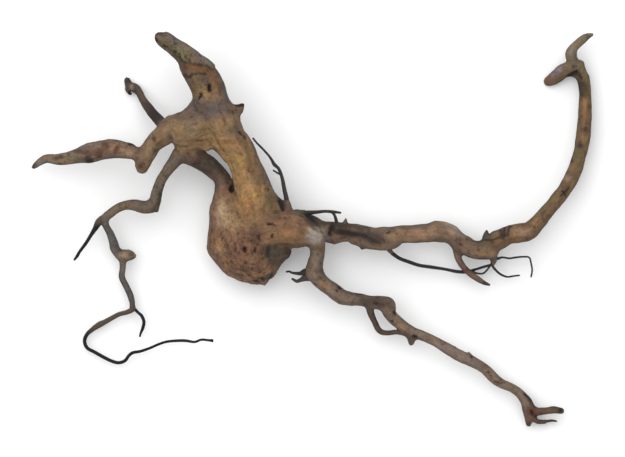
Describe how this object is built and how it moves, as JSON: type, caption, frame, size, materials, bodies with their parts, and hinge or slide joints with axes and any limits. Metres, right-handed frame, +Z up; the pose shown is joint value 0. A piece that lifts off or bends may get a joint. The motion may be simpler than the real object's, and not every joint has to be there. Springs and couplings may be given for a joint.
{
  "type": "dry root",
  "caption": "Dry branching root lying flat: burl-like bulb, stout horned trunk, long knotty limbs, hooked neck and fine dark rootlets.",
  "frame": {"origin": "on the floor, under the middle of the bounding box", "axes": "+X along the root's length towards the hooked neck, +Y towards the horns, +Z up from the floor"},
  "size_m": [0.4499, 0.3156, 0.0619],
  "materials": {
    "root_wood": "weathered dry bare wood, matt"
  },
  "bodies": {
    "root": {"root": "root_wood"}
  },
  "joints": []
}
